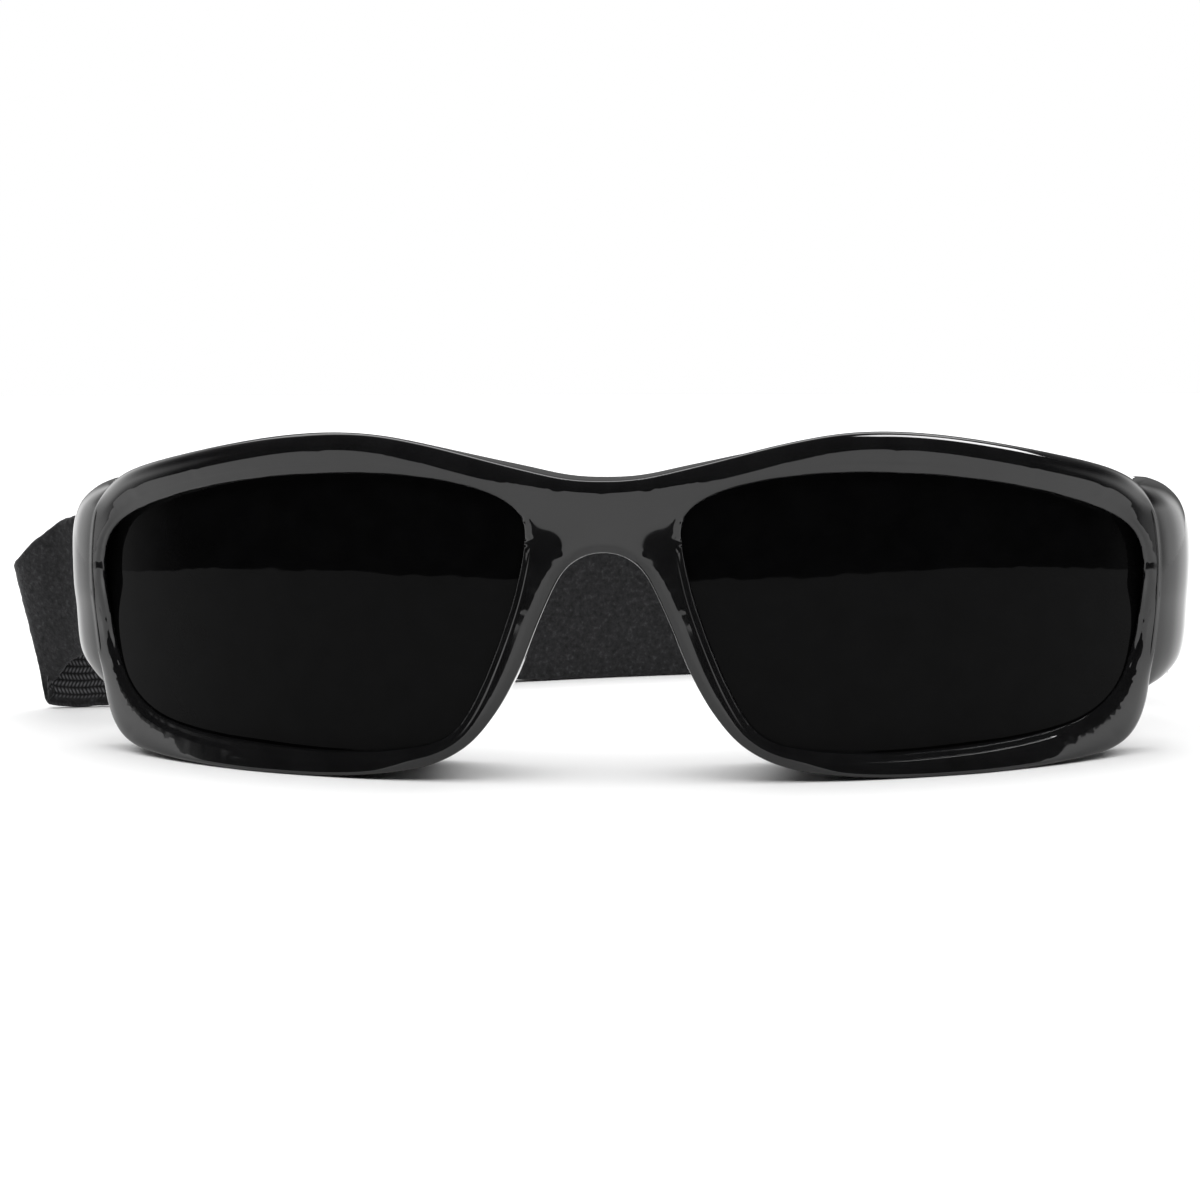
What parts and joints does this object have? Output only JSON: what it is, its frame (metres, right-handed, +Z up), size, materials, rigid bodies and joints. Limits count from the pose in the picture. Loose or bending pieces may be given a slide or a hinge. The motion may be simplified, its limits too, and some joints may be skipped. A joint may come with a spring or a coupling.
{
  "type": "welding goggles",
  "caption": "Wraparound welding goggles with dark filter lenses, foam face seals and an elastic head strap on hinged strap arms.",
  "frame": {"origin": "on the plane the goggles stand on, under the front of the bridge, halfway between the lenses", "axes": "+X to the viewer's right along the face, +Y from the front of the goggles to the back of the head, +Z up"},
  "size_m": [0.1676, 0.1184, 0.0449],
  "materials": {
    "frame_gloss": "polished black injection moulding",
    "lens_dark": "polished welding-shade filter, nearly opaque",
    "carrier_matte": "fine satin moulding",
    "foam": "closed-cell foam with a fine skin",
    "brass": "turned and knurled",
    "screw_steel": "blackened steel",
    "elastic": "knitted elastic, plush outside and ribbed inside",
    "thread": "twisted polyester thread",
    "glide_plastic": "satin nylon"
  },
  "bodies": {
    "root": {"frame_front": "frame_gloss", "lens_left": "lens_dark", "lens_right": "lens_dark", "carrier_left": "carrier_matte", "carrier_right": "carrier_matte", "foam_left": "foam", "foam_right": "foam", "hinge_insert_left": "brass", "hinge_insert_right": "brass", "hinge_screw_left": "screw_steel", "hinge_screw_right": "screw_steel", "strap_main": "elastic", "strap_return": "elastic"},
    "left_arm": {"strap_arm_left": "frame_gloss", "strap_tab_left": "elastic", "tab_stitch": "thread"},
    "right_arm": {"strap_arm_right": "frame_gloss", "strap_loop_right": "elastic"},
    "glide": {"tri_glide": "glide_plastic", "strap_end_loop": "elastic", "end_stitch": "thread"}
  },
  "joints": [
    {"name": "left_arm_hinge", "type": "hinge", "parent": "root", "child": "left_arm", "pos_m": [-0.0724, 0.047, 0.021], "axis": [0, 0, -1], "range_deg": [-10, 30]},
    {"name": "right_arm_hinge", "type": "hinge", "parent": "root", "child": "right_arm", "pos_m": [0.0724, 0.047, 0.021], "axis": [0, 0, 1], "range_deg": [-10, 30]},
    {"name": "glide_slide", "type": "slide", "parent": "root", "child": "glide", "axis": [0.891, 0.454, 0], "range_m": [-0.008, 0.008]}
  ]
}
